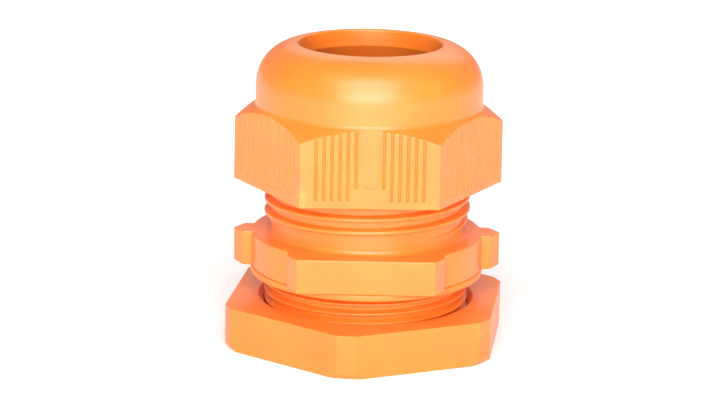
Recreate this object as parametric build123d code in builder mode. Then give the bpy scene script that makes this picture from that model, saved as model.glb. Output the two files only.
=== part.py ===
from build123d import *
import os
from math import cos, radians, sin, tan

# Cable gland with an M32 x 1.5 connection thread, in orange polyamide.
#
# Millimetres, +Z up. The origin is on the gland's axis, level with the underside of the lock nut,
# and the gland stands on that face. -Y is the front: one flat of the hexagon faces it.
# All threads are right-handed.
#
# From the bottom: lock nut, flat sealing ring, body with a hexagon and a thread above and below it,
# cage ring in the body's mouth with its ring of clamping fingers, rubber sleeve, domed cap nut.

os.makedirs("parts", exist_ok=True)

# ---------------------------------------------------------------------------
# Driving sizes
# ---------------------------------------------------------------------------

thread_r = 16.0             # crest radius of the cap thread, and the size class of the gland

# Cable passage, outward from the sleeve's bore
mouth_clearance = 0.3       # cap mouth beyond the sleeve's bore
lower_bore_clearance = 0.8  # body's lower bore beyond the sleeve's bore
sleeve_wall = 1.4
body_mouth_wall = 0.85      # body's wall round the cage ring, at the root of the cap thread

# Connection thread, below the hexagon
connection_clearance = 0.1  # crest radius below that of the cap thread
connection_depth = 0.9
connection_pitch = 1.5
connection_crest = 0.25     # width of the crest
connection_groove = 0.35    # width of the floor between two turns
connection_datum = 8.375    # height of one crest where it passes +X

# Cap thread, above the hexagon
cap_thread_depth = 1.0
cap_thread_pitch = 2.0
cap_thread_crest = 0.5
cap_thread_groove = 0.8
cap_thread_datum = 21.2     # height of one crest where it passes +X

thread_radial_gap = 0.15    # between a crest and the root it faces
thread_flank_gap = 0.13     # between two flanks, along the axis
rib_bury = 0.15             # a rib's flanks run on this far into its wall

# Lock nut
nut_wall = 4.45             # from the thread bore to the middle of a flat
nut_height = 6.8
nut_corner_trim = 0.77      # taken off each corner, along its radius
nut_turn = -7.0             # degrees from one corner to the front
nut_edge = 0.45             # chamfer under the corners, along the radius
nut_edge_angle = 60.0
nut_countersink = 0.8

# Flat sealing ring
ring_thickness = 1.0
ring_edge_over_flange = 0.1
ring_hole_clearance = 0.3   # over the thread's crest

# Body
nut_gap = 3.9               # open height between lock nut and sealing ring
shank_length = 11.0         # below the hexagon
flange_beyond_thread = 2.0  # from the cap thread's crest to the middle of a flat
flange_height = 5.35
flange_relief = 0.05        # the disc between the lands is this much inside the flats
corner_land = 1.45          # width of the land beyond each front and rear corner, along X
side_tab_width = 5.0        # tab on each side corner, along Y
neck_length = 1.3           # plain neck between the hexagon and the cap thread's first edge
neck_fillet = 0.5
cap_thread_length = 12.4    # from the first edge of the cap thread to its last
body_mouth_margin = 1.65    # from the cap thread's last edge to the body's top
body_edge = 0.7             # chamfers of the body's two ends

# Rubber sleeve
sleeve_length = 15.0
sleeve_taper = 0.085        # the outside draws in by this much per unit above the cage ring
sleeve_fit = 0.15           # radial gap between sleeve and body
sleeve_seat_depth = 6.1     # from the sleeve's foot to the cage ring

# Cage ring and its fingers
finger_count = 14
finger_length = 8.5
finger_thickness = 1.1
finger_lean = 8.0           # degrees inward in the rest position
finger_side_gap = 0.575     # between two neighbours' inner faces, at their roots
finger_narrowing = 1.5      # width lost from root to tip
finger_tip_round = 0.3
cage_height = 3.0
cage_fit = 0.05             # radial gap between cage ring and body
pocket_gap = 0.1            # around a finger's rounded foot
cage_inner_lip = 0.3        # ring left inside the pockets
cage_outer_lip = 0.25       # ring left outside the pockets

# Cap nut
cap_gap = 8.0               # open height between hexagon and cap
cap_wall = 1.85             # from the thread bore to the middle of a flat, at the bottom
cap_turn = 1.0              # degrees from square to the front
cap_draft = 0.4             # degrees
hexagon_height = 9.7        # height of the corners
shoulder_rise = 2.0         # from a corner up to the middle of a flat's arc
dome_inset = 0.5            # dome's radius below that of the flats
dome_round = 6.4
mouth_depth = 2.6
cone_slope = 0.605          # inward per unit of height
finger_cone_gap = 0.378     # radial gap between a finger's outer tip corner and the cone
cap_thread_inset = 1.7      # from the cap's bottom to its rib's middle
cap_rib_length = 5.4
cap_mouth_edge = 0.5

# Grip grooves of the cap
groove_width = 0.45
groove_depth = 0.27
groove_pitch = 1.184
groove_foot = 1.15          # from the cap's bottom to the grooves' lower end
grooves_per_side = 7        # each way from the middle groove of a flat
front_groove_start = 2.07   # first groove beside the front panel
front_groove_count = 6      # on each side of the panel
panel_width = 3.1
panel_foot = 3.0            # from the cap's bottom to the panel's lower end
panel_depth = 0.2
short_groove_foot = 3.05    # the two grooves beside the panel end higher

# ---------------------------------------------------------------------------
# Sizes that follow
# ---------------------------------------------------------------------------

connection_root = connection_pitch - connection_groove
cap_thread_root = cap_thread_pitch - cap_thread_groove

# From the cap thread inward to the cable
cap_core_r = thread_r - cap_thread_depth
foot_r = finger_thickness / 2
pocket_r = foot_r + pocket_gap
cage_outer_r = cap_core_r - body_mouth_wall - cage_fit
pivot_r = cage_outer_r - cage_outer_lip - pocket_r
cage_inner_r = pivot_r - pocket_r - cage_inner_lip
seat_r = cage_inner_r
sleeve_outer_r = seat_r - sleeve_fit
cable_r = sleeve_outer_r - sleeve_wall
lower_bore_r = cable_r + lower_bore_clearance
mouth_r = cable_r + mouth_clearance
finger_step = 360 / finger_count
finger_root_width = 2 * (pivot_r - foot_r) * tan(radians(finger_step / 2)) - finger_side_gap
finger_tip_width = finger_root_width - finger_narrowing

# From the cap thread outward
connection_r = thread_r - connection_clearance
core_r = connection_r - connection_depth
flange_width = 2 * (thread_r + flange_beyond_thread)
cap_bore_r = thread_r + thread_radial_gap
cap_apothem = cap_bore_r + cap_wall
cap_corner_r = cap_apothem / cos(radians(30))
dome_r = cap_apothem - dome_inset

# Heights
ring_bottom = nut_height + nut_gap
flange_bottom = ring_bottom + ring_thickness
flange_top = flange_bottom + flange_height
flange_middle = flange_bottom + flange_height / 2
shank_bottom = flange_bottom - shank_length
cap_thread_bottom = flange_top + neck_length
cap_thread_top = cap_thread_bottom + cap_thread_length
body_top = cap_thread_top + body_mouth_margin
cage_bottom = body_top - cage_height
sleeve_bottom = cage_bottom - sleeve_seat_depth
sleeve_top = sleeve_bottom + sleeve_length
sleeve_top_r = sleeve_outer_r - sleeve_taper * (sleeve_top - body_top)
cap_bottom = flange_top + cap_gap
corner_top = cap_bottom + hexagon_height
shoulder_slope = shoulder_rise / (cap_corner_r - cap_apothem)
groove_reach = hexagon_height + 2 * shoulder_rise

# The cone stands off the outer corner of a finger's tip, and the cap's height follows
lean = radians(finger_lean)
tip_corner_r = pivot_r - finger_length * sin(lean) + foot_r * cos(lean)
tip_corner_z = body_top + finger_length * cos(lean) + foot_r * sin(lean)
mouth_bottom = tip_corner_z + (tip_corner_r + finger_cone_gap - mouth_r) / cone_slope
cap_top = mouth_bottom + mouth_depth
cap_height = cap_top - cap_bottom
cone_bottom = mouth_bottom - (cap_bore_r - mouth_r) / cone_slope

nut_bore_r = connection_r + thread_radial_gap
nut_apothem = nut_bore_r + nut_wall
nut_trim_r = nut_apothem / cos(radians(30)) - nut_corner_trim

beyond = 3.0                # how far a cutting tool passes the face that it opens


# ---------------------------------------------------------------------------
# Threads
# ---------------------------------------------------------------------------


def thread_rib(wall_r, tip_r, wall_width, tip_width, pitch, start_z, end_z, datum_z):
    """A helical rib on a cylindrical wall, from start_z to end_z along its middle.

    A tip radius above the wall's makes an outside thread, and one below it an inside thread.
    The rib's middle passes +X at datum_z, or a whole number of pitches from it.
    """
    outward = 1 if tip_r > wall_r else -1
    slope = (wall_width - tip_width) / abs(tip_r - wall_r)
    bury_r = wall_r - outward * rib_bury
    bury_width = wall_width + slope * rib_bury
    height = end_z - start_z
    with BuildPart() as rib:
        with BuildLine() as path:
            Helix(pitch=pitch, height=height, radius=bury_r, center=(0, 0, start_z))
        with BuildSketch(Plane.XZ):
            with BuildLine():
                Polyline(
                    (bury_r, start_z - bury_width / 2),
                    (tip_r, start_z - tip_width / 2),
                    (tip_r, start_z + tip_width / 2),
                    (bury_r, start_z + bury_width / 2),
                    close=True,
                )
            make_face()
        sweep(path=path.line, is_frenet=True)
    return rib.part.rotate(Axis.Z, 360 * (start_z - datum_z) / pitch)


def mating_widths(crest, root, depth, pitch):
    """Wall and tip width of the rib that fills the space between the turns of another thread."""
    spread = (root - crest) / depth
    wall_width = pitch - (crest - spread * thread_radial_gap) - 2 * thread_flank_gap
    tip_width = pitch - (root - spread * thread_radial_gap) - 2 * thread_flank_gap
    return wall_width, tip_width


connection_rib = thread_rib(
    core_r, connection_r, connection_root, connection_crest, connection_pitch,
    shank_bottom + body_edge + connection_root / 2,
    ring_bottom - connection_root / 2,
    connection_datum,
)

nut_rib_wall, nut_rib_tip = mating_widths(
    connection_crest, connection_root, connection_depth, connection_pitch
)
nut_rib = thread_rib(
    nut_bore_r, core_r + thread_radial_gap, nut_rib_wall, nut_rib_tip, connection_pitch,
    nut_countersink + nut_rib_wall / 2,
    nut_height - nut_countersink - nut_rib_wall / 2,
    connection_datum + connection_pitch / 2,
)

cap_thread_rib = thread_rib(
    cap_core_r, thread_r, cap_thread_root, cap_thread_crest, cap_thread_pitch,
    cap_thread_bottom + cap_thread_root / 2,
    cap_thread_top - cap_thread_root / 2,
    cap_thread_datum,
)

cap_rib_wall, cap_rib_tip = mating_widths(
    cap_thread_crest, cap_thread_root, cap_thread_depth, cap_thread_pitch
)
cap_rib = thread_rib(
    cap_bore_r, cap_core_r + thread_radial_gap, cap_rib_wall, cap_rib_tip, cap_thread_pitch,
    cap_bottom + cap_thread_inset,
    cap_bottom + cap_thread_inset + cap_rib_length,
    cap_thread_datum + cap_thread_pitch / 2,
)

# ---------------------------------------------------------------------------
# Lock nut: a flat hexagon with trimmed corners, chamfered underneath
# ---------------------------------------------------------------------------

with BuildPart() as lock_nut:
    with BuildSketch():
        RegularPolygon(nut_apothem, 6, major_radius=False, rotation=nut_turn - 90)
    extrude(amount=nut_height)
    with BuildSketch(Plane.XZ):
        with BuildLine():
            Polyline(
                (0, 0),
                (nut_trim_r - nut_edge, 0),
                (nut_trim_r, nut_edge * tan(radians(nut_edge_angle))),
                (nut_trim_r, nut_height),
                (0, nut_height),
                close=True,
            )
        make_face()
    revolve(axis=Axis.Z, mode=Mode.INTERSECT)
    with BuildSketch(Plane.XZ):
        with BuildLine():
            Polyline(
                (0, 0),
                (nut_bore_r + nut_countersink, 0),
                (nut_bore_r, nut_countersink),
                (nut_bore_r, nut_height - nut_countersink),
                (nut_bore_r + nut_countersink, nut_height),
                (0, nut_height),
                close=True,
            )
        make_face()
    revolve(axis=Axis.Z, mode=Mode.SUBTRACT)
    add(nut_rib)
lock_nut.part.label = "lock_nut"

# ---------------------------------------------------------------------------
# Flat sealing ring under the hexagon
# ---------------------------------------------------------------------------

with BuildPart() as sealing_ring:
    with BuildSketch(Plane.XY.offset(ring_bottom)):
        Circle(flange_width / 2 + ring_edge_over_flange)
        Circle(connection_r + ring_hole_clearance, mode=Mode.SUBTRACT)
    extrude(amount=ring_thickness)
sealing_ring.part.label = "sealing_ring"

# ---------------------------------------------------------------------------
# Body: shank, hexagon, neck and upper shank round one stepped bore
# ---------------------------------------------------------------------------

with BuildPart() as gland_body:
    with BuildSketch(Plane.XZ):
        with BuildLine():
            Polyline(
                (0, shank_bottom),
                (core_r - body_edge, shank_bottom),
                (core_r, shank_bottom + body_edge),
                (core_r, flange_middle),
                (0, flange_middle),
                close=True,
            )
        make_face()
    revolve(axis=Axis.Z)
    with BuildSketch(Plane.XZ):
        with BuildLine():
            Polyline(
                (0, flange_middle),
                (cap_core_r, flange_middle),
                (cap_core_r, body_top - body_edge),
                (cap_core_r - body_edge, body_top),
                (0, body_top),
                close=True,
            )
        make_face()
    revolve(axis=Axis.Z)
    # The hexagon is whole at the front and the rear. Its four other flats are cut back to a disc,
    # which leaves a land beside each front and rear corner and a tab on each side corner.
    flange_corner_x = flange_width / 2 * tan(radians(30))
    with BuildSketch(Plane.XY.offset(flange_bottom)):
        Rectangle(2 * (flange_corner_x + corner_land), 2 * flange_width)
        Rectangle(2 * flange_width, side_tab_width)
        RegularPolygon(flange_width / 2, 6, major_radius=False, mode=Mode.INTERSECT)
        Circle(flange_width / 2 - flange_relief)
    extrude(amount=flange_height)
    neck_foot = (
        gland_body.edges()
        .filter_by(GeomType.CIRCLE)
        .filter_by(lambda e: abs(e.radius - cap_core_r) < 0.01)
        .filter_by_position(Axis.Z, flange_top - 0.01, flange_top + 0.01)
    )
    fillet(neck_foot, neck_fillet)
    with BuildSketch(Plane.XZ):
        with BuildLine():
            Polyline(
                (0, shank_bottom),
                (lower_bore_r + body_edge, shank_bottom),
                (lower_bore_r, shank_bottom + body_edge),
                (lower_bore_r, sleeve_bottom),
                (seat_r, sleeve_bottom),
                (seat_r, cage_bottom),
                (cage_outer_r + cage_fit, cage_bottom),
                (cage_outer_r + cage_fit, body_top),
                (0, body_top),
                close=True,
            )
        make_face()
    revolve(axis=Axis.Z, mode=Mode.SUBTRACT)
    add(connection_rib)
    add(cap_thread_rib)
gland_body.part.label = "gland_body"

# ---------------------------------------------------------------------------
# Cage ring, with one pocket in its top for the rounded foot of each finger
# ---------------------------------------------------------------------------

with BuildPart() as cage_ring:
    with BuildSketch(Plane.XY.offset(cage_bottom)):
        Circle(cage_outer_r)
        Circle(cage_inner_r, mode=Mode.SUBTRACT)
    extrude(amount=cage_height)
    with PolarLocations(0, finger_count):
        with Locations((pivot_r, 0, body_top)):
            Cylinder(
                pocket_r, finger_root_width + 2 * pocket_gap, rotation=(90, 0, 0), mode=Mode.SUBTRACT
            )
cage_ring.part.label = "cage_ring"

# ---------------------------------------------------------------------------
# Clamping fingers: flat, narrower at the tip, each with a round foot along its pivot
# ---------------------------------------------------------------------------

pivot = (pivot_r, 0, body_top)
outward = (cos(lean), 0, sin(lean))
side_plane = Plane(origin=pivot, x_dir=outward, z_dir=(0, -1, 0))
front_plane = Plane(origin=pivot, x_dir=(0, 1, 0), z_dir=outward)

with BuildPart() as finger_blank:
    with BuildSketch(side_plane) as side_view:
        Rectangle(finger_thickness, finger_length, align=(Align.CENTER, Align.MIN))
        fillet(side_view.vertices().group_by(Axis.Y)[-1], finger_tip_round)
        Circle(foot_r)
    extrude(amount=finger_root_width / 2, both=True)
    with BuildSketch(front_plane):
        with BuildLine():
            Polyline(
                (-finger_root_width / 2, -finger_thickness),
                (finger_root_width / 2, -finger_thickness),
                (finger_root_width / 2, 0),
                (finger_tip_width / 2, finger_length),
                (-finger_tip_width / 2, finger_length),
                (-finger_root_width / 2, 0),
                close=True,
            )
        make_face()
    extrude(amount=finger_thickness, both=True, mode=Mode.INTERSECT)

fingers = []
for number in range(finger_count):
    with BuildPart() as clamp_finger:
        add(finger_blank.part, rotation=(0, 0, number * finger_step))
    clamp_finger.part.label = f"clamp_finger_{number + 1:02d}"
    fingers.append(clamp_finger.part)

# ---------------------------------------------------------------------------
# Rubber sleeve: a tube whose outside draws in above the cage ring
# ---------------------------------------------------------------------------

with BuildPart() as seal_sleeve:
    with BuildSketch(Plane.XZ):
        with BuildLine():
            Polyline(
                (cable_r, sleeve_bottom),
                (sleeve_outer_r, sleeve_bottom),
                (sleeve_outer_r, body_top),
                (sleeve_top_r, sleeve_top),
                (cable_r, sleeve_top),
                close=True,
            )
        make_face()
    revolve(axis=Axis.Z)
seal_sleeve.part.label = "seal_sleeve"

# ---------------------------------------------------------------------------
# Cap nut: a grooved hexagon that runs into a dome with an open mouth
# ---------------------------------------------------------------------------


def groove_offsets(flat):
    """Where the grooves run on one flat, from its middle; the front flat has a panel instead."""
    if flat > 0:
        return [groove_pitch * i for i in range(-grooves_per_side, grooves_per_side + 1)]
    right = [front_groove_start + groove_pitch * i for i in range(front_groove_count)]
    return [-offset for offset in right] + right


def groove_foot_height(flat, offset):
    """Height above the cap's bottom at which a groove ends."""
    beside_panel = flat == 0 and abs(offset) < front_groove_start + groove_pitch / 2
    return short_groove_foot if beside_panel else groove_foot


with BuildPart() as cap_nut:
    with BuildSketch(Plane.XY.offset(cap_bottom)):
        RegularPolygon(cap_apothem, 6, major_radius=False, rotation=cap_turn)
    extrude(amount=cap_height, taper=cap_draft)
    with BuildSketch(Plane.XZ):
        with BuildLine():
            lowest = cap_corner_r + beyond
            below = Polyline(
                (0, cap_bottom),
                (lowest, cap_bottom),
                (lowest, corner_top - beyond * shoulder_slope),
                (dome_r, corner_top + (cap_corner_r - dome_r) * shoulder_slope),
                (dome_r, cap_top - dome_round),
            )
            dome = RadiusArc(below @ 1, (dome_r - dome_round, cap_top), -dome_round)
            Polyline(dome @ 1, (0, cap_top), (0, cap_bottom))
        make_face()
    revolve(axis=Axis.Z, mode=Mode.INTERSECT)
    # Inside, from the bottom: thread bore, cone that closes the fingers, short straight mouth.
    with BuildSketch(Plane.XZ):
        with BuildLine():
            Polyline(
                (0, cap_bottom),
                (cap_bore_r + cap_mouth_edge, cap_bottom),
                (cap_bore_r, cap_bottom + cap_mouth_edge),
                (cap_bore_r, cone_bottom),
                (mouth_r, mouth_bottom),
                (mouth_r, cap_top),
                (0, cap_top),
                close=True,
            )
        make_face()
    revolve(axis=Axis.Z, mode=Mode.SUBTRACT)
    add(cap_rib)
    # Grip grooves on all six flats, open at the shoulder, and the front panel between them.
    for flat in range(6):
        turn = radians(cap_turn + 60 * flat)
        flat_plane = Plane(
            origin=(cap_apothem * sin(turn), -cap_apothem * cos(turn), cap_bottom),
            x_dir=(cos(turn), sin(turn), 0),
            z_dir=(sin(turn), -cos(turn), sin(radians(cap_draft))),
        )
        with BuildSketch(flat_plane):
            for offset in groove_offsets(flat):
                foot = groove_foot_height(flat, offset)
                with Locations((offset, foot)):
                    Rectangle(groove_width, groove_reach - foot, align=(Align.CENTER, Align.MIN))
        extrude(amount=-groove_depth, mode=Mode.SUBTRACT)
        if flat == 0:
            with BuildSketch(flat_plane):
                with Locations((0, panel_foot + panel_width / 2)):
                    Circle(panel_width / 2)
                    Rectangle(panel_width, groove_reach, align=(Align.CENTER, Align.MIN))
            extrude(amount=-panel_depth, mode=Mode.SUBTRACT)
cap_nut.part.label = "cap_nut"

for piece in [lock_nut, sealing_ring, gland_body, cage_ring, seal_sleeve, cap_nut]:
    export_step(piece.part, f"parts/{piece.part.label}.step")
for finger in fingers:
    export_step(finger, f"parts/{finger.label}.step")
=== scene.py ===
# %% [markdown]
# # A cable gland in orange plastic
#
# A cable gland leads a cable through the wall of a box and grips it. From the bottom it is a lock
# nut, a flat sealing ring, a body with a hexagon between two threads, a cage with fourteen fingers
# round a rubber sleeve, and a domed cap nut. The CAD model gives every place and every joint. This
# lesson makes the pieces again with rounded edges, real threads and grooves, and plastic that has
# the small faults of moulding.

# %% Load the frame
import math
import bmesh
import bpy
from mathutils import Matrix, Vector


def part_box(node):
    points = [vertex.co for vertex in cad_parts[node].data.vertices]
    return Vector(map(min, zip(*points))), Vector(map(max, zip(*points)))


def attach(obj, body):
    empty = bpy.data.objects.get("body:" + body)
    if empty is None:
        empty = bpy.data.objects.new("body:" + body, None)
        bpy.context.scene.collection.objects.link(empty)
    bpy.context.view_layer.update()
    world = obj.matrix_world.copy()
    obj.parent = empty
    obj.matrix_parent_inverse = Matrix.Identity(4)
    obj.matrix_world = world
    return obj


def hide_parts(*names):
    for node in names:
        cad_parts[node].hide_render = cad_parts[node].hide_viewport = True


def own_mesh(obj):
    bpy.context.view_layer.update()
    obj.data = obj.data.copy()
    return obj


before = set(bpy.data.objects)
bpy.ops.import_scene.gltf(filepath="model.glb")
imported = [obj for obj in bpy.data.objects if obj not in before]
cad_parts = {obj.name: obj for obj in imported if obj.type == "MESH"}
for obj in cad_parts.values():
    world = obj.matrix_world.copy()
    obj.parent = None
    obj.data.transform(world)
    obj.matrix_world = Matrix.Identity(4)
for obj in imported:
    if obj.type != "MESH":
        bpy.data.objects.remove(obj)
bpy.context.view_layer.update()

MM = 0.001
scene = bpy.context.scene

# %% [markdown]
# ## Where things are
#
# The heights come from the boxes of the CAD nodes, so nothing is fitted by eye. Widths and small
# sizes that a box doesn't show are named here once, in millimetres.

# %% Heights and widths from the frame
def span(node):
    """Lowest and highest point of a CAD node, in millimetres."""
    low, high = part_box(node)
    return low.z / MM, high.z / MM


nut_bottom, nut_top = span("lock_nut")
ring_bottom, ring_top = span("sealing_ring")
body_bottom, body_top = span("gland_body")
cage_bottom = span("cage_ring")[0]
sleeve_bottom, sleeve_top = span("seal_sleeve")
cap_bottom, cap_top = span("cap_nut")
print(f"nut {nut_bottom:.2f} to {nut_top:.2f} mm, cap {cap_bottom:.2f} to {cap_top:.2f} mm")

# %% [markdown]
# ## Nodes written as sums
#
# Both shaders and Geometry Nodes are graphs of small nodes. Placing Math nodes one by one is hard
# to read, so a `Wire` holds one socket and overloads the arithmetic signs: `1 - mask` adds the Math
# node that computes it. Every other node comes from one method, `Graph.node`, which takes the
# node's type, its settings and what goes into its sockets.

# %% The Wire and the Graph
class Wire:
    """One output socket of a node, usable in a Python sum."""

    def __init__(self, graph, socket):
        self.graph = graph
        self.socket = socket

    def math(self, operation, *terms):
        return self.graph.node("ShaderNodeMath", {"operation": operation}, dict(enumerate(terms)))

    def output(self, name):
        return Wire(self.graph, self.socket.node.outputs[name])

    def __add__(self, other):
        return self.math("ADD", self, other)

    def __radd__(self, other):
        return self.math("ADD", other, self)

    def __sub__(self, other):
        return self.math("SUBTRACT", self, other)

    def __rsub__(self, other):
        return self.math("SUBTRACT", other, self)

    def __mul__(self, other):
        return self.math("MULTIPLY", self, other)

    def __rmul__(self, other):
        return self.math("MULTIPLY", other, self)

    def __truediv__(self, other):
        return self.math("DIVIDE", self, other)

    def __lt__(self, other):
        return self.math("LESS_THAN", self, other)

    def __gt__(self, other):
        return self.math("GREATER_THAN", self, other)


class Graph:
    """A node tree that grows one node at a time."""

    def __init__(self, tree):
        self.tree = tree

    def node(self, kind, settings=None, sockets=None, output=0):
        made = self.tree.nodes.new(kind)
        for name, value in (settings or {}).items():
            if name == "stops":
                for stop, (place, shade) in zip(made.color_ramp.elements, value):
                    stop.position = place
                    stop.color = (shade, shade, shade, 1)
            else:
                setattr(made, name, value)
        for key, value in (sockets or {}).items():
            if isinstance(value, Wire):
                self.tree.links.new(value.socket, made.inputs[key])
            else:
                made.inputs[key].default_value = value
        return Wire(self, made.outputs[output])

    def vector(self, x, y, z):
        return self.node("ShaderNodeCombineXYZ", sockets={0: x, 1: y, 2: z})


print("node helpers ready")

# %% [markdown]
# ## Geometry Nodes with names
#
# A tree gets named inputs, so that one tree makes several pieces of different sizes. `rule_tree`
# starts a tree, `end_tree` closes it with Realize Instances and Set Material, and `grow` runs it
# once and keeps the result as a plain mesh.

# %% Start, end and run a tree
SOCKETS = {
    "number": "NodeSocketFloat",
    "geometry": "NodeSocketGeometry",
    "object": "NodeSocketObject",
    "material": "NodeSocketMaterial",
}


def rule_tree(name, **inputs):
    """A tree with the named inputs; returns its graph and a wire for each input."""
    tree = bpy.data.node_groups.new(name, "GeometryNodeTree")
    for label, kind in inputs.items():
        tree.interface.new_socket(name=label, in_out="INPUT", socket_type=SOCKETS[kind])
    tree.interface.new_socket(name="result", in_out="OUTPUT", socket_type="NodeSocketGeometry")
    graph = Graph(tree)
    start = tree.nodes.new("NodeGroupInput")
    return graph, {label: Wire(graph, start.outputs[label]) for label in inputs}


def end_tree(graph, geometry, material):
    real = graph.node("GeometryNodeRealizeInstances", sockets={"Geometry": geometry})
    coated = graph.node("GeometryNodeSetMaterial", sockets={"Geometry": real, "Material": material})
    end = graph.tree.nodes.new("NodeGroupOutput")
    graph.tree.links.new(coated.socket, end.inputs[0])


def plain_copy(holder, name):
    """The evaluated mesh of an object, as a new object at the origin; the holder is removed."""
    bpy.context.view_layer.update()
    evaluated = holder.evaluated_get(bpy.context.evaluated_depsgraph_get())
    mesh = bpy.data.meshes.new_from_object(evaluated)
    mesh.name = name
    bpy.data.objects.remove(holder)
    piece = bpy.data.objects.new(name, mesh)
    scene.collection.objects.link(piece)
    return piece


def grow(name, graph, values, base=None):
    """Runs a tree once, on a base mesh if it has one, and keeps what it makes."""
    holder = bpy.data.objects.new(name + "_rule", base or bpy.data.meshes.new(name + "_rule"))
    scene.collection.objects.link(holder)
    rule = holder.modifiers.new("rule", "NODES")
    rule.node_group = graph.tree
    for item in graph.tree.interface.items_tree:
        if item.in_out == "INPUT" and item.name in values:
            rule[item.identifier] = values[item.name]
    return plain_copy(holder, name)


# %% [markdown]
# ## The orange plastic
#
# All the hard pieces are polyamide from a mould: satin, a little translucent, and orange through
# and through. A flat colour would look like a toy. The real surface has a fine spark-eroded grain,
# slow changes of shade where the plastic cooled at different speeds, shallow sinks and dust-sized
# specks. Noises at different scales give these, and a few marks sit at chosen places of single
# pieces.

# %% Noise helpers for materials
def noise(graph, place, size, detail=2.0, roughness=0.5):
    """Noise between 0 and 1 whose features are about this many millimetres."""
    return graph.node("ShaderNodeTexNoise", sockets={
        "Vector": place, "Scale": 1 / (size * MM), "Detail": detail, "Roughness": roughness,
    })


def ramp(graph, value, low, high):
    """0 below low, 1 above high, and a straight slope between."""
    return graph.node("ShaderNodeValToRGB", {"stops": [(low, 0), (high, 1)]}, {"Fac": value})


def mix_colour(graph, factor, first, second):
    """The first colour where the factor is 0, and the second where it is 1."""
    return graph.node("ShaderNodeMix", {"data_type": "RGBA"}, {0: factor, 6: first, 7: second}, 2)


def spot(graph, place, centre, reach):
    """1 at a point given in millimetres, falling to 0 at the reach."""
    away = graph.node(
        "ShaderNodeVectorMath", {"operation": "DISTANCE"},
        {0: place, 1: tuple(c * MM for c in centre)}, "Value",
    )
    return ramp(graph, 1 - away / (reach * MM), 0.0, 0.6)


print("noise helpers ready")

# %% The polyamide itself
BRIGHT = (0.95, 0.232, 0.020, 1)
DEEP = (0.93, 0.198, 0.014, 1)
PALE = (0.96, 0.40, 0.10, 1)
DUST = (0.30, 0.07, 0.02, 1)
CLOUD_SIZE = 9.0
SINK_SIZE = 5.0
SPECK_SIZE = 0.8
SCUFF_SIZE = 0.5
GRAIN_SIZE = 0.35
SINK_HEIGHT = 0.25
GRAIN_HEIGHT = 0.012
POLYAMIDE_IOR = 1.53


def polyamide(name, deep=DEEP, bright=BRIGHT, gloss=0.37, grain=0.4, marks=()):
    """Satin orange plastic; marks are (centre, reach) places that are scuffed."""
    material = bpy.data.materials.new(name)
    material.use_nodes = True
    graph = Graph(material.node_tree)
    place = graph.node("ShaderNodeTexCoord", output="Object")
    cloud = noise(graph, place, CLOUD_SIZE, 3.0)
    fine = noise(graph, place, GRAIN_SIZE, 4.0, 0.6)
    specks = ramp(graph, noise(graph, place, SPECK_SIZE, 1.0), 0.74, 0.80)
    colour = mix_colour(graph, ramp(graph, cloud, 0.3, 0.7), deep, bright)
    scuff = None
    for centre, reach in marks:
        mark = spot(graph, place, centre, reach)
        scuff = mark if scuff is None else scuff.math("MAXIMUM", scuff, mark)
    if scuff is not None:
        scuff = scuff * ramp(graph, noise(graph, place, SCUFF_SIZE, 4.0, 0.7), 0.48, 0.62)
        colour = mix_colour(graph, scuff * 0.55, colour, PALE)
    colour = mix_colour(graph, specks * 0.25, colour, DUST)
    rough = gloss + (fine - 0.5) * 0.10 + (cloud - 0.5) * 0.10
    if scuff is not None:
        rough = rough + scuff * 0.2
    sink = noise(graph, place, SINK_SIZE, 1.0)
    swell = graph.node(
        "ShaderNodeBump", sockets={"Strength": 0.12, "Distance": SINK_HEIGHT * MM, "Height": sink}
    )
    normal = graph.node("ShaderNodeBump", sockets={
        "Strength": grain, "Distance": GRAIN_HEIGHT * MM, "Height": fine, "Normal": swell,
    })
    shader = material.node_tree.nodes["Principled BSDF"]
    shader.inputs["IOR"].default_value = POLYAMIDE_IOR
    shader.inputs["Specular IOR Level"].default_value = 0.65
    shader.inputs["Sheen Weight"].default_value = 0.03
    shader.inputs["Sheen Roughness"].default_value = 0.45
    shader.inputs["Subsurface Weight"].default_value = 0.30
    shader.inputs["Subsurface Radius"].default_value = (1.0, 0.35, 0.05)
    shader.inputs["Subsurface Scale"].default_value = 1.2 * MM
    for socket, wire in (("Base Color", colour), ("Roughness", rough), ("Normal", normal)):
        graph.tree.links.new(wire.socket, shader.inputs[socket])
    return material


cap_plastic = polyamide("cap_plastic", marks=[((-10.1, -18.2, 26.0), 2.4)])
body_plastic = polyamide("body_plastic")
nut_plastic = polyamide(
    "nut_plastic", marks=[((18.0, -13.6, 6.6), 3.2), ((19.6, -5.5, 6.8), 1.8)]
)
ring_plastic = polyamide("ring_plastic", gloss=0.5)
# The cage plastic is the same orange, darkened as painted shade for fingers that sit in shade
# inside the cap's mouth.
cage_plastic = polyamide("cage_plastic", (0.72, 0.15, 0.012, 1), (0.82, 0.20, 0.02, 1), 0.5)
print("plastics", [m.name for m in bpy.data.materials if m.name.endswith("plastic")])

# %% [markdown]
# ## The rubber of the sleeve
#
# The sleeve is black rubber. Rubber is dull, with a fine grain and a trace of pale dust, and it is
# never quite black.

# %% Sleeve rubber
def sleeve_rubber_material():
    material = bpy.data.materials.new("sleeve_rubber")
    material.use_nodes = True
    graph = Graph(material.node_tree)
    place = graph.node("ShaderNodeTexCoord", output="Object")
    dust = ramp(graph, noise(graph, place, 3.0, 4.0, 0.6), 0.45, 0.75)
    fine = noise(graph, place, 0.25, 3.0, 0.6)
    colour = mix_colour(graph, dust * 0.5, (0.022, 0.022, 0.024, 1), (0.060, 0.058, 0.055, 1))
    normal = graph.node(
        "ShaderNodeBump", sockets={"Strength": 0.5, "Distance": 0.02 * MM, "Height": fine}
    )
    rough = 0.62 + fine * 0.15
    shader = material.node_tree.nodes["Principled BSDF"]
    for socket, wire in (("Base Color", colour), ("Roughness", rough), ("Normal", normal)):
        graph.tree.links.new(wire.socket, shader.inputs[socket])
    return material


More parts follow.
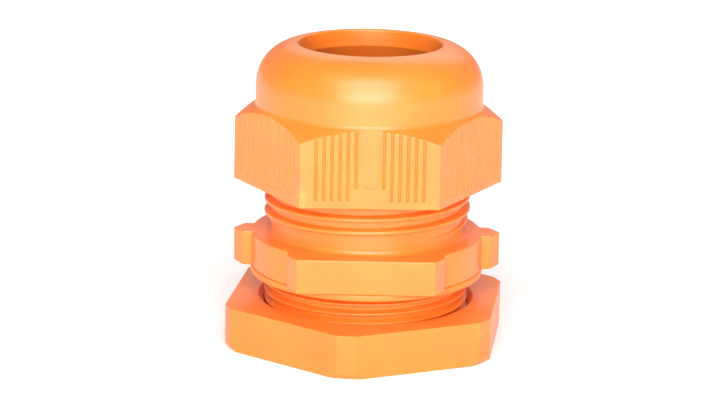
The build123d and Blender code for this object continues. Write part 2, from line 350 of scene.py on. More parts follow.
sleeve_rubber = sleeve_rubber_material()
print("rubber", sleeve_rubber.name)

# %% [markdown]
# ## Shells from rings
#
# Every piece of the gland goes round one axis, so each is a closed shell of rings: up the outside,
# over the top, down the bore and back along the underside. A ring is a list of points, and all
# rings of a piece have the same number, so that corners of one ring meet corners of the next. A
# hexagon is only a ring whose radius depends on the angle.

# %% Rings and shells
def shell(name, rings):
    """A closed mesh through rings of (x, y, z) points in millimetres; the last joins the first."""
    mesh = bmesh.new()
    rows = [[mesh.verts.new(Vector(point) * MM) for point in ring] for ring in rings]
    around = len(rows[0])
    for row, above in zip(rows, rows[1:] + rows[:1]):
        for i in range(around):
            j = (i + 1) % around
            mesh.faces.new((row[i], row[j], above[j], above[i]))
    bmesh.ops.remove_doubles(mesh, verts=mesh.verts, dist=0.0005 * MM)
    bmesh.ops.recalc_face_normals(mesh, faces=mesh.faces)
    made = bpy.data.meshes.new(name)
    mesh.to_mesh(made)
    mesh.free()
    return made


def polar_ring(angles, radius, height):
    """One ring: radius and height are numbers, or functions of the angle."""
    ring = []
    for angle in angles:
        r = radius(angle) if callable(radius) else radius
        z = height(angle) if callable(height) else height
        ring.append((r * math.cos(angle), r * math.sin(angle), z))
    return ring


def arc_points(centre, radius, start, end, steps):
    """Points (r, z) along an arc between two angles in degrees, ends included."""
    angles = [math.radians(start + (end - start) * i / steps) for i in range(steps + 1)]
    return [(centre[0] + radius * math.cos(a), centre[1] + radius * math.sin(a)) for a in angles]


def rounded(mesh, name, width, segments=3, limit=30):
    """The mesh with its sharp edges bevelled, as an object; the bevel is applied."""
    holder = bpy.data.objects.new(name, mesh)
    scene.collection.objects.link(holder)
    bevel = holder.modifiers.new("edges", "BEVEL")
    bevel.width = width * MM
    bevel.segments = segments
    bevel.limit_method = "ANGLE"
    bevel.angle_limit = math.radians(limit)
    return plain_copy(holder, name)


def outward(piece):
    """The piece with all its faces turned outward."""
    mesh = bmesh.new()
    mesh.from_mesh(piece.data)
    bmesh.ops.recalc_face_normals(mesh, faces=mesh.faces)
    mesh.to_mesh(piece.data)
    mesh.free()
    return piece


def smooth(piece, angle=32):
    """Smooth shading with the edges above an angle kept sharp."""
    for face in piece.data.polygons:
        face.use_smooth = True
    piece.data.set_sharp_from_angle(angle=math.radians(angle))


def settle(piece, material, body, slot, *nodes):
    """Gives a finished piece its material, its body and the CAD nodes it stands for; the slot is
    not used.
    """
    piece.data.materials.clear()
    piece.data.materials.append(material)
    smooth(piece)
    name = piece.name
    flatten = piece.modifiers.new("flat_faces", "WEIGHTED_NORMAL")
    flatten.keep_sharp = True
    piece = plain_copy(piece, name)
    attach(piece, body)
    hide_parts(*nodes)
    print(piece.name, len(piece.data.polygons), "faces")
    return piece


EVEN = [math.radians(2 * i) for i in range(180)]


def turned(name, outline, width=0.15):
    """A round piece from the outline of its half section, (r, z) points in order."""
    return rounded(shell(name, [polar_ring(EVEN, r, z) for r, z in outline]), name, width)


print("shell helpers ready")

# %% [markdown]
# ## Threads by rule
#
# A thread is one rib that climbs the same height with each turn. It could be cut from a picture of
# rings, but rings don't climb, and the eye sees that at the ends. So a tree bends a line into a
# helix and sweeps a rounded section along it. The rib's scale falls to nothing over the first and
# last part of a turn, which is how a moulded thread runs out into its wall.

# %% The thread tree
graph, given = rule_tree(
    "thread_rule", radius="number", depth="number", sink="number", foot="number", crest="number",
    pitch="number", turns="number", start_height="number", start_angle="number",
    fade="number", material="material",
)
STEPS_A_TURN = 96
TURN = 2 * math.pi
line = graph.node("GeometryNodeCurvePrimitiveLine", sockets={"End": (0, 0, 1)})
steps = given["turns"] * STEPS_A_TURN
line = graph.node("GeometryNodeResampleCurve", sockets={"Curve": line, "Count": steps})
along = graph.node("GeometryNodeSplineParameter")
turned_by = given["start_angle"] + along * given["turns"] * TURN
helix = graph.node(
    "GeometryNodeSetPosition",
    sockets={
        "Geometry": line,
        "Position": graph.vector(
            given["radius"] * turned_by.math("COSINE", turned_by),
            given["radius"] * turned_by.math("SINE", turned_by),
            given["start_height"] + along * given["turns"] * given["pitch"],
        ),
    },
)
helix = graph.node("GeometryNodeSetCurveNormal", {"mode": "Z_UP"}, {"Curve": helix})
section = graph.node(
    "GeometryNodeCurvePrimitiveQuadrilateral", {"mode": "POINTS"},
    {
        "Point 1": graph.vector(given["sink"] * -1, given["foot"] * -0.5, 0),
        "Point 2": graph.vector(given["depth"], given["crest"] * -0.5, 0),
        "Point 3": graph.vector(given["depth"], given["crest"] * 0.5, 0),
        "Point 4": graph.vector(given["sink"] * -1, given["foot"] * 0.5, 0),
    },
)
section = graph.node(
    "GeometryNodeFilletCurve", {"mode": "POLY"},
    {"Curve": section, "Count": 3, "Radius": given["crest"] * 0.45, "Limit Radius": True},
)
to_end = (0.5 - (along - 0.5).math("ABSOLUTE", along - 0.5)) * given["turns"]
growth = (to_end / given["fade"]).math("MINIMUM", to_end / given["fade"], 1.0)
rib = graph.node(
    "GeometryNodeCurveToMesh",
    sockets={"Curve": helix, "Profile Curve": section, "Scale": growth, "Fill Caps": True},
)
rib = graph.node("GeometryNodeMergeByDistance", sockets={"Geometry": rib, "Distance": 0.001 * MM})
end_tree(graph, rib, given["material"])
thread_rule = graph


def thread(name, radius, depth, foot, crest, pitch, low, high, datum, material, fade=0.3):
    """A rib between two heights whose middle passes +X at the datum height.

    A negative depth points inward and makes an inside thread.
    """
    return outward(grow(name, thread_rule, {
        "radius": radius * MM, "depth": depth * MM, "sink": math.copysign(0.25, depth) * MM,
        "foot": foot * MM, "crest": crest * MM, "pitch": pitch * MM,
        "turns": (high - low) / pitch, "start_height": low * MM,
        "start_angle": TURN * (low - datum) / pitch, "fade": fade, "material": material,
    }))


print("thread tree ready")

# %% [markdown]
# ## The lock nut
#
# A flat hexagon, 41 mm across its flats, whose corners a cylinder trims. Underneath, a shallow
# cone takes the corners off. The ring function gives the hexagon, and the places where flat and
# trimmed corner meet are angles of the ring, so that both edges come out straight.

# %% Shape the lock nut
NUT_WIDTH = 41.0
NUT_CORNER_TRIM = 0.77
NUT_TURN = -7.0
NUT_EDGE = 0.45
NUT_EDGE_ANGLE = 60.0
CONNECTION_R = 15.9
CONNECTION_CORE = 15.0
CONNECTION_PITCH = 1.5
CONNECTION_DATUM = 8.375
THREAD_GAP = 0.15
COUNTERSINK = 0.8

nut_apothem = NUT_WIDTH / 2
nut_trim_r = nut_apothem / math.cos(math.radians(30)) - NUT_CORNER_TRIM
nut_bore_r = CONNECTION_R + THREAD_GAP


def from_flat(angle, turn):
    """Angle in degrees from the middle of the nearest flat; flats are at turn plus 60 degrees."""
    return (math.degrees(angle) - turn + 30) % 60 - 30


def nut_outline(angle):
    across = nut_apothem / math.cos(math.radians(from_flat(angle, nut_flat)))
    return min(across, nut_trim_r)


def nut_angles():
    """Angles of the nut's rings, with the ends of each trimmed corner among them."""
    corner = math.degrees(math.acos(nut_apothem / nut_trim_r))
    chamfer_start = math.degrees(math.acos(nut_apothem / (nut_trim_r - NUT_EDGE)))
    half = [i * chamfer_start / 8 for i in range(8)]
    half += [chamfer_start + (corner - chamfer_start) * i / 6 for i in range(7)]
    half += [corner + (30 - corner) * i / 3 for i in (1, 2)]
    flat = [-a for a in reversed(half[1:])] + half + [30]
    return [math.radians(nut_flat + 60 * side + a) for side in range(6) for a in flat]


def under_edge(angle):
    """Height of the chamfer under a corner."""
    return nut_bottom + max(0, nut_outline(angle) - foot_r) * slope


nut_flat = NUT_TURN - 60
around_nut = nut_angles()
foot_r = nut_trim_r - NUT_EDGE
slope = math.tan(math.radians(NUT_EDGE_ANGLE))
nut_mesh = shell("lock_nut", [
    polar_ring(around_nut, lambda a: min(nut_outline(a), foot_r), nut_bottom),
    polar_ring(around_nut, nut_outline, under_edge),
    polar_ring(around_nut, nut_outline, nut_top),
    polar_ring(around_nut, nut_bore_r + COUNTERSINK, nut_top),
    polar_ring(around_nut, nut_bore_r, nut_top - COUNTERSINK),
    polar_ring(around_nut, nut_bore_r, nut_bottom + COUNTERSINK),
    polar_ring(around_nut, nut_bore_r + COUNTERSINK, nut_bottom),
])
lock_nut = rounded(nut_mesh, "lock_nut_shell", width=0.22, limit=20)
print("nut corner radius", round(nut_trim_r, 2), "mm")

# %% [markdown]
# ## One solid from several
#
# A thread's rib and its wall are made apart, because a ring can't climb. Left as two meshes they
# would cross inside each other. A union tree joins them into one solid with nothing hidden inside.
# It takes any two objects, and takes in several one after another.

# %% The union tree
union, given = rule_tree("union_rule", first="object", second="object", material="material")
parts = [
    union.node("GeometryNodeObjectInfo", sockets={"Object": given[label]}).output("Geometry")
    for label in ("first", "second")
]
boolean = union.node("GeometryNodeMeshBoolean", {"operation": "UNION", "solver": "MANIFOLD"})
for part in parts:
    union.tree.links.new(part.socket, boolean.socket.node.inputs["Mesh 2"])
end_tree(union, boolean, given["material"])


def joined(name, material, *shells):
    """The shells as one solid; the shells themselves are removed."""
    whole = shells[0]
    for other in shells[1:]:
        made = grow(name, union, {"first": whole, "second": other, "material": material})
        for used in (whole, other):
            bpy.data.objects.remove(used)
        whole = made
    whole.name = name
    return whole


print("union tree ready")

# %% The nut's inside thread
NUT_RIB_FOOT = 1.10
NUT_RIB_CREST = 0.30
NUT_RIB_INSET = 1.5
nut_rib = thread(
    "nut_rib", nut_bore_r, -(nut_bore_r - CONNECTION_CORE - THREAD_GAP), NUT_RIB_FOOT,
    NUT_RIB_CREST, CONNECTION_PITCH, nut_bottom + NUT_RIB_INSET, nut_top - NUT_RIB_INSET,
    CONNECTION_DATUM + CONNECTION_PITCH / 2, nut_plastic,
)
lock_nut = joined("lock_nut_moulding", nut_plastic, lock_nut, nut_rib)
settle(lock_nut, nut_plastic, "lock_nut", "nut_plastic", "lock_nut")

# %% [markdown]
# ## The flat sealing ring
#
# A thin washer between hexagon and wall. It is stamped, so its edges are only slightly round.

# %% Shape the sealing ring
RING_R = 18.1
RING_HOLE_R = 16.2
sealing_ring = turned("flat_sealing_ring", [
    (RING_HOLE_R, ring_bottom), (RING_R, ring_bottom), (RING_R, ring_top), (RING_HOLE_R, ring_top),
], width=0.18)
settle(sealing_ring, ring_plastic, "sealing_ring", "ring_plastic", "sealing_ring")

# %% [markdown]
# ## The body
#
# The body is a stepped tube, a hexagon round it and two threads. The hexagon is whole at the front
# and the rear. Its four other sides are cut back to a disc, which leaves a land beside each
# corner and a tab on each side: the mould opens there. The neck runs into the hexagon with a
# hollow curve, where a cut edge would tear under load. Tube, hexagon and ribs are made apart, run a
# little into each other and are then joined.

# %% The tube of the body
FLANGE_BOTTOM = ring_top
FLANGE_HEIGHT = 5.35
FLANGE_WIDTH = 36.0
NECK_HOLLOW = 0.7
BODY_EDGE = 0.7
LOWER_BORE = 11.5
SEAT_R = 12.25
RECESS_R = 14.15
CAP_THREAD_R = 16.0
CAP_CORE = 15.0
CAP_PITCH = 2.0
CAP_DATUM = 21.2
HIDDEN = 1.0
flange_top = FLANGE_BOTTOM + FLANGE_HEIGHT
neck_centre = (CAP_CORE + NECK_HOLLOW, flange_top + NECK_HOLLOW)
neck = arc_points(neck_centre, NECK_HOLLOW, 270, 180, 6)
tube = rounded(shell("body_tube", [polar_ring(EVEN, r, z) for r, z in [
    (LOWER_BORE + BODY_EDGE, body_bottom),
    (CONNECTION_CORE - BODY_EDGE, body_bottom),
    (CONNECTION_CORE, body_bottom + BODY_EDGE),
    (CONNECTION_CORE, flange_top - HIDDEN),
    (CAP_CORE + NECK_HOLLOW, flange_top - HIDDEN),
    *neck,
    (CAP_CORE, body_top - BODY_EDGE),
    (CAP_CORE - BODY_EDGE, body_top),
    (RECESS_R, body_top),
    (RECESS_R, cage_bottom),
    (SEAT_R, cage_bottom),
    (SEAT_R, sleeve_bottom),
    (LOWER_BORE, sleeve_bottom),
    (LOWER_BORE, body_bottom + BODY_EDGE),
]]), "body_tube", width=0.12, segments=2)

# %% The hexagon with its lands and tabs
FLANGE_DISC_R = 17.95
TAB_HALF = 2.5
LAND = 1.45
FLANGE_INNER_R = 13.6


def flange_quarter():
    """Outline of one quarter, from the side corner to the front corner, in order."""
    half_width = FLANGE_WIDTH / 2
    corner_x = half_width * math.tan(math.radians(30))
    side_corner = 2 * corner_x
    land_x = corner_x + LAND
    first = math.asin(TAB_HALF / FLANGE_DISC_R)
    last = math.acos(land_x / FLANGE_DISC_R)
    disc = [first + (last - first) * i / 24 for i in range(25)]
    slant = math.sqrt(3)
    return [
        (side_corner, 0.0),
        (side_corner - TAB_HALF / slant, TAB_HALF),
        *[(FLANGE_DISC_R * math.cos(a), FLANGE_DISC_R * math.sin(a)) for a in disc],
        (land_x, (side_corner - land_x) * slant),
        (corner_x, half_width),
        (corner_x / 3, half_width),
    ]


quarter = flange_quarter()
half = quarter + [(-x, y) for x, y in reversed(quarter[1:])]
outline = half + [(-x, -y) for x, y in half]
outline = [p for i, p in enumerate(outline) if p != outline[i - 1]]


def flange_ring(inner, height):
    """The outline at one height, or its points drawn in to a circle inside the tube's wall."""
    ring = []
    for x, y in outline:
        share = FLANGE_INNER_R / math.hypot(x, y) if inner else 1
        ring.append((x * share, y * share, height))
    return ring


flange = rounded(shell("flange", [
    flange_ring(True, FLANGE_BOTTOM), flange_ring(False, FLANGE_BOTTOM),
    flange_ring(False, flange_top), flange_ring(True, flange_top),
]), "flange", width=0.22)
print("flange outline", len(outline), "points")

# %% Both threads, and the body as one solid
CONNECTION_FOOT = 1.25
CONNECTION_CREST = 0.30
CONNECTION_START = 0.7
CONNECTION_END = 0.5
CAP_THREAD_FOOT = 1.35
CAP_THREAD_CREST = 0.55
CAP_THREAD_START = 1.85
CAP_THREAD_END = 2.2
CAP_THREAD_FADE = 0.22
connection_rib = thread(
    "connection_rib", CONNECTION_CORE, CONNECTION_R - CONNECTION_CORE, CONNECTION_FOOT,
    CONNECTION_CREST, CONNECTION_PITCH, body_bottom + BODY_EDGE + CONNECTION_START,
    ring_bottom - CONNECTION_END, CONNECTION_DATUM, body_plastic,
)
cap_thread_rib = thread(
    "cap_thread_rib", CAP_CORE, CAP_THREAD_R - CAP_CORE, CAP_THREAD_FOOT, CAP_THREAD_CREST,
    CAP_PITCH, flange_top + CAP_THREAD_START, body_top - CAP_THREAD_END, CAP_DATUM,
    body_plastic, CAP_THREAD_FADE,
)
body = joined("body_moulding", body_plastic, tube, flange, connection_rib, cap_thread_rib)
settle(body, body_plastic, "gland_body", "body_plastic", "gland_body")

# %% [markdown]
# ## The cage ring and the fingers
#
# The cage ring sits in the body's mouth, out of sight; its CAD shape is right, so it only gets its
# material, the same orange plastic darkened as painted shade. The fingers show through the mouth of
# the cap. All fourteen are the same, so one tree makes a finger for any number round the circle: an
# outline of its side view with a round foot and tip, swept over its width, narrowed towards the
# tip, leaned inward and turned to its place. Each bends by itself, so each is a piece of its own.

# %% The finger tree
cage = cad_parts["cage_ring"]
for material_slot in cage.material_slots:
    material_slot.material = cage_plastic

graph, given = rule_tree(
    "finger_rule", turn="number", pivot="number", height="number", length="number",
    thickness="number", root="number", tip="number", lean="number", material="material",
)
half_thick = given["thickness"] * 0.5
side_view = graph.node(
    "GeometryNodeCurvePrimitiveQuadrilateral", {"mode": "POINTS"},
    {
        "Point 1": graph.vector(half_thick * -1, half_thick, 0),
        "Point 2": graph.vector(half_thick, half_thick, 0),
        "Point 3": graph.vector(half_thick, given["length"] * -1, 0),
        "Point 4": graph.vector(half_thick * -1, given["length"] * -1, 0),
    },
)
at_foot = graph.node("GeometryNodeInputIndex") < 1.5
side_view = graph.node(
    "GeometryNodeFilletCurve", {"mode": "POLY"},
    {
        "Curve": side_view, "Count": 6, "Limit Radius": True,
        "Radius": half_thick * (0.55 + at_foot * 0.44),
    },
)
width_line = graph.node(
    "GeometryNodeCurvePrimitiveLine",
    sockets={"Start": graph.vector(0, given["root"] * -0.5, 0),
             "End": graph.vector(0, given["root"] * 0.5, 0)},
)
width_line = graph.node("GeometryNodeSetCurveNormal", {"mode": "Z_UP"}, {"Curve": width_line})
blade = graph.node(
    "GeometryNodeCurveToMesh",
    sockets={"Curve": width_line, "Profile Curve": side_view, "Fill Caps": True},
)
place = graph.node("ShaderNodeSeparateXYZ", sockets={0: graph.node("GeometryNodeInputPosition")})
raised = place.output("Z") / given["length"]
raised = raised.math("MAXIMUM", raised, 0.0)
narrowed = 1 - raised * (1 - given["tip"] / given["root"])
blade = graph.node(
    "GeometryNodeSetPosition",
    sockets={
        "Geometry": blade,
        "Position": graph.vector(
            place.output("X"), place.output("Y") * narrowed, place.output("Z")
        ),
    },
)
blade = graph.node(
    "GeometryNodeTransform",
    sockets={
        "Geometry": blade,
        "Translation": graph.vector(given["pivot"], 0, given["height"]),
        "Rotation": graph.vector(0, given["lean"] * -1, 0),
    },
)
blade = graph.node(
    "GeometryNodeTransform",
    sockets={"Geometry": blade, "Rotation": graph.vector(0, 0, given["turn"])},
)
end_tree(graph, blade, given["material"])
finger_rule = graph
print("cage ring coated, finger tree ready")

# %% Fourteen fingers
FINGERS = 14
PIVOT_R = 13.2
FINGER_LENGTH = 8.5
FINGER_THICKNESS = 1.1
ROOT_WIDTH = 5.2
TIP_WIDTH = 3.7
LEAN = 8.0
for number in range(FINGERS):
    node = f"clamp_finger_{number + 1:02d}"
    blank = outward(grow(node + "_blank", finger_rule, {
        "turn": number * TURN / FINGERS, "pivot": PIVOT_R * MM, "height": body_top * MM,
        "length": FINGER_LENGTH * MM, "thickness": FINGER_THICKNESS * MM,
        "root": ROOT_WIDTH * MM, "tip": TIP_WIDTH * MM, "lean": math.radians(LEAN),
        "material": cage_plastic,
    }))
    finger = rounded(blank.data, node + "_moulding", width=0.14, segments=2)
    bpy.data.objects.remove(blank)
    settle(finger, cage_plastic, node, "cage_plastic", node)

# %% [markdown]
# ## The rubber sleeve
#
# The sleeve is a plain tube inside the fingers, and its outside draws in towards the top so that
# the fingers have room. When the cap comes down, real fingers press the rubber inward.

# %% Shape the sleeve
CABLE_R = 10.7
SLEEVE_R = 12.1
SLEEVE_TAPER = 0.5
sleeve = turned("rubber_sleeve", [
    (CABLE_R, sleeve_bottom), (SLEEVE_R, sleeve_bottom), (SLEEVE_R, body_top),
    (SLEEVE_R - SLEEVE_TAPER, sleeve_top), (CABLE_R, sleeve_top),
], width=0.25)
sleeve = settle(sleeve, sleeve_rubber, "seal_sleeve", "sleeve_rubber", "seal_sleeve")
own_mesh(sleeve)

# %% [markdown]
# ## The cap
#
# The cap begins as a hexagon and ends as a dome. A shoulder cone cuts the top of the hexagon, and
# where a cone cuts a flat side the edge is an arch, highest in the middle of the flat. Each column
# of the rings finds the height of that arch for its own angle, and columns lie every two degrees
# from the middle of a flat, so that one falls on each corner.

# %% Sizes of the cap
CAP_WIDTH = 36.0
CAP_TURN = 1.0
DRAFT = math.tan(math.radians(0.4))
CORNER_HEIGHT = 9.7
SHOULDER_RISE = 2.0
DOME_R = 17.5
DOME_ROUND = 6.4
LIP = 0.35
MOUTH_R = 11.0
MOUTH_DEPTH = 2.6
CONE_SLOPE = 0.605
CAP_BORE_R = 16.15
CAP_EDGE = 0.5

cap_flat = CAP_TURN - 90
cap_apothem = CAP_WIDTH / 2
cap_corner_r = cap_apothem / math.cos(math.radians(30))
shoulder_slope = SHOULDER_RISE / (cap_corner_r - cap_apothem)
shoulder_top = cap_bottom + CORNER_HEIGHT + (cap_corner_r - DOME_R) * shoulder_slope
around_cap = [math.radians(cap_flat + 2 * i) for i in range(180)]


def stretch(angle):
    """How much further the hexagon reaches at this angle than at the middle of a flat."""
    return 1 / math.cos(math.radians(from_flat(angle, cap_flat)))


def arch_height(angle):
    """Height at which the shoulder cone meets the drafted flat."""
    top = cap_corner_r + (cap_bottom + CORNER_HEIGHT) / shoulder_slope
    flat = (cap_apothem + cap_bottom * DRAFT) * stretch(angle)
    return (top - flat) / (1 / shoulder_slope - DRAFT * stretch(angle))


def arch_radius(angle):
    return (cap_apothem - (arch_height(angle) - cap_bottom) * DRAFT) * stretch(angle)


print("arch from", round(arch_height(math.radians(cap_flat + 30)), 2), "mm up to",
      round(arch_height(math.radians(cap_flat)), 2), "mm")

# %% The shell of the cap
SHOULDER_BLEND = 0.85
cone_angle = math.degrees(math.atan(shoulder_slope))
blend_centre = (
    DOME_R + SHOULDER_BLEND,
    shoulder_top + SHOULDER_BLEND * (math.hypot(1, shoulder_slope) - shoulder_slope),
)
blend = arc_points(blend_centre, SHOULDER_BLEND, 270 - cone_angle, 180, 5)
dome = arc_points((DOME_R - DOME_ROUND, cap_top - DOME_ROUND), DOME_ROUND, 0, 87, 16)
lip = arc_points((MOUTH_R + LIP, cap_top - LIP), LIP, 95, 180, 4)
mouth_bottom = cap_top - MOUTH_DEPTH
cone_bottom = mouth_bottom - (CAP_BORE_R - MOUTH_R) / CONE_SLOPE
cap_shell = rounded(shell("cap_shell", [
    polar_ring(around_cap, CAP_BORE_R + CAP_EDGE, cap_bottom),
    polar_ring(around_cap, lambda a: cap_apothem * stretch(a), cap_bottom),
    polar_ring(around_cap, arch_radius, arch_height),
    *[polar_ring(around_cap, r, z) for r, z in blend + dome + lip],
    polar_ring(around_cap, MOUTH_R, mouth_bottom),
    polar_ring(around_cap, CAP_BORE_R, cone_bottom),
    polar_ring(around_cap, CAP_BORE_R, cap_bottom + CAP_EDGE),
]), "cap_shell", width=0.25)

# %% [markdown]
# ## Grip grooves by rule
#
# Every flat of the cap has a row of fine grooves with a rounded foot. They run up through the
# arched edge of the flat. That is too many cuts to place by hand, but they follow a rule: a number
# gives a flat and a column, six flats of fifteen. The front flat is different, since a sunk panel
# takes the middle. The tree makes ninety places, leaves out three on the front flat, stands a bar
# on each of the others and takes them all from the shell in one cut.

# %% The panel's cutter
PANEL_WIDTH = 3.1
PANEL_FOOT = 3.0
PANEL_DEPTH = 0.2
PANEL_FRONT = 1.0
GROOVE_PITCH = 1.184
GROOVE_WIDTH = 0.5
GROOVE_DEPTH = 0.27
GROOVE_FOOT = 1.15
SHORT_GROOVE_FOOT = 3.05
BESIDE_PANEL = 2.07
GROOVE_REACH = CORNER_HEIGHT + 2 * SHOULDER_RISE
to_front = (
    Matrix.Rotation(math.radians(CAP_TURN), 4, "Z")
    @ Matrix.Translation((0, -cap_apothem * MM, cap_bottom * MM))
    @ Matrix.Rotation(-math.atan(DRAFT), 4, "X")
)


def panel_cutter():
    """A prism with a round foot that stands through the front flat."""
    half = PANEL_WIDTH / 2
    edge = arc_points((0, PANEL_FOOT + half), half, 180, 360, 20)
    edge += [(half, GROOVE_REACH), (-half, GROOVE_REACH)]
    mesh = bmesh.new()
    front = [mesh.verts.new((x * MM, -PANEL_FRONT * MM, z * MM)) for x, z in edge]
    back = [mesh.verts.new((x * MM, PANEL_DEPTH * MM, z * MM)) for x, z in edge]
    for i in range(len(edge)):
        mesh.faces.new((front[i - 1], front[i], back[i], back[i - 1]))
    mesh.faces.new(front)
    mesh.faces.new(back)
    mesh.transform(to_front)
    bmesh.ops.recalc_face_normals(mesh, faces=mesh.faces)
    made = bpy.data.meshes.new("panel_cutter")
    mesh.to_mesh(made)
    mesh.free()
    cutter = bpy.data.objects.new("panel_cutter", made)
    scene.collection.objects.link(cutter)
    return cutter


print("panel", PANEL_WIDTH, "mm wide and", PANEL_DEPTH, "mm deep")

# %% The groove tree
graph, given = rule_tree(
    "groove_rule", shell="geometry", panel="object", turn="number", apothem="number",
    bottom="number", draft="number", pitch="number", width="number", depth="number",
    foot="number", short_foot="number", reach="number", front_start="number",
    material="material",
)
COLUMNS = 15
MIDDLE = 7
bar = graph.node("GeometryNodeCurvePrimitiveLine", sockets={"End": (0, 0, 1)})
bar = graph.node("GeometryNodeResampleCurve", sockets={"Curve": bar, "Count": 6})
along = graph.node("GeometryNodeInputIndex") / 5
raised = along * along * along * along * along
bar = graph.node(
    "GeometryNodeSetPosition", sockets={"Geometry": bar, "Position": graph.vector(0, 0, raised)}
)
NOSE = 0.01
short_of = (1 - raised / NOSE).math("MAXIMUM", 1 - raised / NOSE, 0.0)
rounding = 1 - short_of * short_of
rounding = rounding.math("SQRT", rounding)
disc = graph.node("GeometryNodeCurvePrimitiveCircle", sockets={"Resolution": 12, "Radius": 1.0})
bar = graph.node(
    "GeometryNodeCurveToMesh",
    sockets={"Curve": bar, "Profile Curve": disc, "Scale": rounding, "Fill Caps": True},
)
bar = graph.node("GeometryNodeMergeByDistance", sockets={"Geometry": bar, "Distance": 0.001})

index = graph.node("GeometryNodeInputIndex")
flat = (index / COLUMNS).math("FLOOR", index / COLUMNS)
column = index - flat * COLUMNS - MIDDLE
step = column.math("ABSOLUTE", column)
at_front = flat < 0.5
side = column.math("SIGN", column)
front_offset = side * (given["front_start"] + (step - 1) * given["pitch"])
offset = column * given["pitch"] * (1 - at_front) + front_offset * at_front
beside_panel = at_front * (step < 1.5)
foot = given["foot"] + (given["short_foot"] - given["foot"]) * beside_panel
left_out = at_front * ((step < 0.5) + (step > 6.5))
turn = given["turn"] + flat * (TURN / 6)
points = graph.node("GeometryNodePoints", sockets={"Count": 6 * COLUMNS})
tilt_in = foot * given["draft"]
across = graph.vector(offset, given["apothem"] * -1 + tilt_in, given["bottom"] + foot)
spun = graph.node(
    "ShaderNodeVectorRotate", {"rotation_type": "Z_AXIS"}, {"Vector": across, "Angle": turn}
)
points = graph.node("GeometryNodeSetPosition", sockets={"Geometry": points, "Position": spun})
bars = graph.node(
    "GeometryNodeInstanceOnPoints",
    sockets={
        "Points": points, "Instance": bar,
        "Selection": left_out < 0.5,
        "Rotation": graph.vector(given["draft"] * -1, 0, turn),
        "Scale": graph.vector(given["width"] * 0.5, given["depth"], given["reach"] - foot),
    },
)
bars = graph.node("GeometryNodeRealizeInstances", sockets={"Geometry": bars})
panel = graph.node("GeometryNodeObjectInfo", sockets={"Object": given["panel"]}).output("Geometry")
cut = graph.node(
    "GeometryNodeMeshBoolean", {"operation": "DIFFERENCE", "solver": "MANIFOLD"},
    {"Mesh 1": given["shell"]},
)
for cutter in (bars, panel):
    graph.tree.links.new(cutter.socket, cut.socket.node.inputs["Mesh 2"])
end_tree(graph, cut, given["material"])
groove_rule = graph
print("groove tree ready")

# %% Cut the grooves and add the inside thread
panel = panel_cutter()
grooved = grow("grooved_cap", groove_rule, {
    "panel": panel, "turn": math.radians(CAP_TURN), "apothem": cap_apothem * MM,
    "bottom": cap_bottom * MM, "draft": DRAFT, "pitch": GROOVE_PITCH * MM,
    "width": GROOVE_WIDTH * MM, "depth": GROOVE_DEPTH * MM, "foot": GROOVE_FOOT * MM,
    "short_foot": SHORT_GROOVE_FOOT * MM, "reach": GROOVE_REACH * MM,
    "front_start": BESIDE_PANEL * MM, "material": cap_plastic,
}, cap_shell.data)
bpy.data.objects.remove(panel)
bpy.data.objects.remove(cap_shell)
CAP_RIB_FOOT = 1.30
CAP_RIB_CREST = 0.50
CAP_RIB_INSET = 1.7
CAP_RIB_LENGTH = 5.4
cap_rib_start = cap_bottom + CAP_RIB_INSET
cap_rib = thread(
    "cap_rib", CAP_BORE_R, -(CAP_BORE_R - CAP_CORE - THREAD_GAP), CAP_RIB_FOOT, CAP_RIB_CREST,
    CAP_PITCH, cap_rib_start, cap_rib_start + CAP_RIB_LENGTH, CAP_DATUM + CAP_PITCH / 2,
    cap_plastic,
)
cap = joined("cap_moulding", cap_plastic, grooved, cap_rib)
settle(cap, cap_plastic, "cap_nut", "cap_plastic", "cap_nut")

# %% [markdown]
# ## Floor, light and camera
#
# Bright and even light suits a catalogue picture: a pale world, a broad lamp near the camera that
# fills the threads, a high one for the dome, and a weak one behind. The dome then shows a wide
# highlight, and the underside of each step keeps a soft shade. The floor glows a little, and more
# so further out, which makes the background white and keeps the shade under the gland. The camera
# stands far away with a long lens, a little above the gland.

# %% Floor
FLOOR_R = 3.0
GLOW_NEAR = 0.16
GLOW_FAR = 0.80
GLOW_START = 0.02
GLOW_END = 0.26
floor_mesh = bmesh.new()
bmesh.ops.create_circle(floor_mesh, cap_ends=True, segments=96, radius=FLOOR_R)
floor_data = bpy.data.meshes.new("floor")
floor_mesh.to_mesh(floor_data)
floor_mesh.free()
floor = bpy.data.objects.new("floor", floor_data)
scene.collection.objects.link(floor)
paint = bpy.data.materials.new("floor_paint")
paint.use_nodes = True
graph = Graph(paint.node_tree)
place = graph.node("ShaderNodeTexCoord", output="Object")
away = graph.node("ShaderNodeVectorMath", {"operation": "LENGTH"}, {0: place}, "Value")
near = (GLOW_NEAR, GLOW_NEAR, GLOW_NEAR, 1)
far = (GLOW_FAR, GLOW_FAR, GLOW_FAR, 1)
lift = mix_colour(graph, ramp(graph, away, GLOW_START, GLOW_END), near, far)
paper = paint.node_tree.nodes["Principled BSDF"]
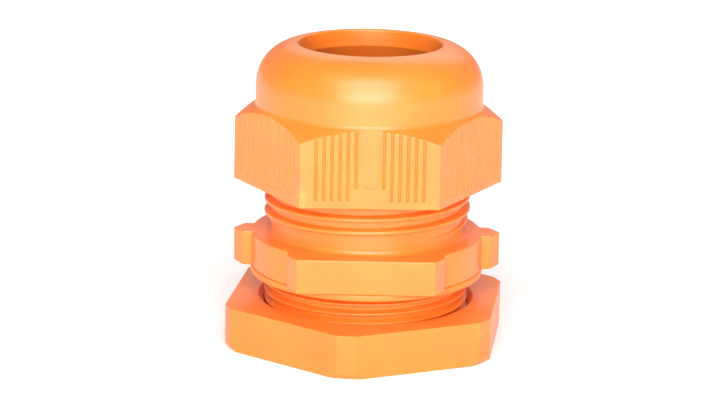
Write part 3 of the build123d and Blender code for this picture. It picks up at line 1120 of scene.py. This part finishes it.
paper.inputs["Base Color"].default_value = (0.93, 0.93, 0.93, 1)
paper.inputs["Roughness"].default_value = 0.9
paper.inputs["Emission Strength"].default_value = 1.0
paint.node_tree.links.new(lift.socket, paper.inputs["Emission Color"])
floor_data.materials.append(paint)
print("floor", 2 * FLOOR_R, "m across")

# %% Light
world = bpy.data.worlds.new("studio")
world.use_nodes = True
world.node_tree.nodes["Background"].inputs["Color"].default_value = (1, 1, 1, 1)
world.node_tree.nodes["Background"].inputs["Strength"].default_value = 0.32
scene.world = world
scene.view_settings.view_transform = "Standard"


def lamp(name, place, target, size, power):
    """A rectangular lamp at a place, turned to a target; both are in millimetres."""
    light = bpy.data.lights.new(name, "AREA")
    light.shape = "RECTANGLE"
    light.size, light.size_y = size
    light.energy = power
    made = bpy.data.objects.new(name, light)
    made.location = Vector(place) * MM
    aim = Vector(target) * MM - made.location
    made.rotation_euler = aim.to_track_quat("-Z", "Y").to_euler()
    scene.collection.objects.link(made)


lamp("lamp_front", (0, -450, 165), (0, 0, 25), (0.40, 0.25), 2.5)
lamp("lamp_high", (0, -250, 330), (0, 0, 40), (0.34, 0.12), 0.9)
lamp("lamp_back", (60, 380, 330), (0, 0, 30), (0.40, 0.30), 0.5)
print("lamps", len(bpy.data.lights))

# %% Camera
camera_data = bpy.data.cameras.new("camera")
camera_data.lens = 118.45
camera_data.sensor_width = 36.0
camera_data.clip_start = 0.01
camera = bpy.data.objects.new("camera", camera_data)
place = Vector((0.0, -356.8, 114.87)) * MM
aim = (Vector((-1.14, 0.0, 21.2)) * MM - place).normalized()
side = aim.cross(Vector((0, 0, 1))).normalized()
up = side.cross(aim)
roll = math.radians(1.1)
camera_up = up * math.cos(roll) - side * math.sin(roll)
camera_side = aim.cross(camera_up)
turned_to = Matrix((camera_side, camera_up, -aim)).transposed().to_4x4()
camera.matrix_world = Matrix.Translation(place) @ turned_to
scene.collection.objects.link(camera)
scene.camera = camera
print(f"camera {place.length / MM:.0f} mm away, rolled {math.degrees(roll):.1f} degrees")
